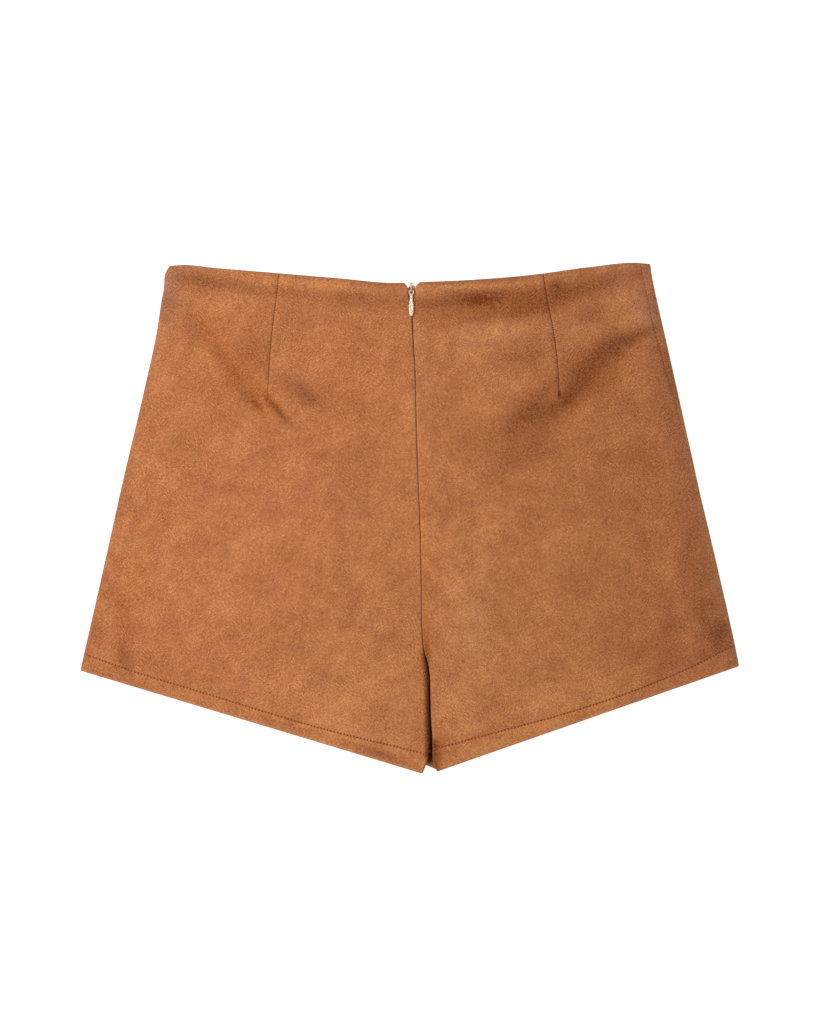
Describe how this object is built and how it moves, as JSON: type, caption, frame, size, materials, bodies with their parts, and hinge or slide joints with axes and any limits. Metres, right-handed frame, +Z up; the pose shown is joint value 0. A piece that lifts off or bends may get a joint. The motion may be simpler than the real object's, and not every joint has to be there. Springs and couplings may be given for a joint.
{
  "type": "skort",
  "caption": "High-waisted tan faux-suede skort laid flat, back up, with long waist darts, slanted stitched hems and a concealed back zip whose pull tab swings.",
  "frame": {"origin": "middle of the outline of the laid-out skort, on the surface that it lies on", "axes": "+Z up from the surface, out of the skort's back, +Y from the hems to the waist, +X to the right as the back is seen, across the skort"},
  "size_m": [0.4835, 0.3745, 0.008],
  "materials": {
    "faux_suede": "brushed nap, soft, matt with a faint sheen",
    "zip_tape": "woven polyester tape with a nylon coil",
    "zip_enamel": "cream-peach enamel on die-cast metal"
  },
  "bodies": {
    "garment": {"back_left": "faux_suede", "back_right": "faux_suede", "front_left": "faux_suede", "front_right": "faux_suede", "skirt_panel": "faux_suede", "zip_tape_left": "zip_tape", "zip_tape_right": "zip_tape", "zip_slider": "zip_enamel"},
    "pull_tab": {"zip_pull": "zip_enamel"}
  },
  "joints": [
    {"name": "pull_hinge", "type": "hinge", "parent": "garment", "child": "pull_tab", "pos_m": [0.0012, 0.1669, 0.0064], "axis": [-1, 0, 0], "range_deg": [0, 150]}
  ]
}
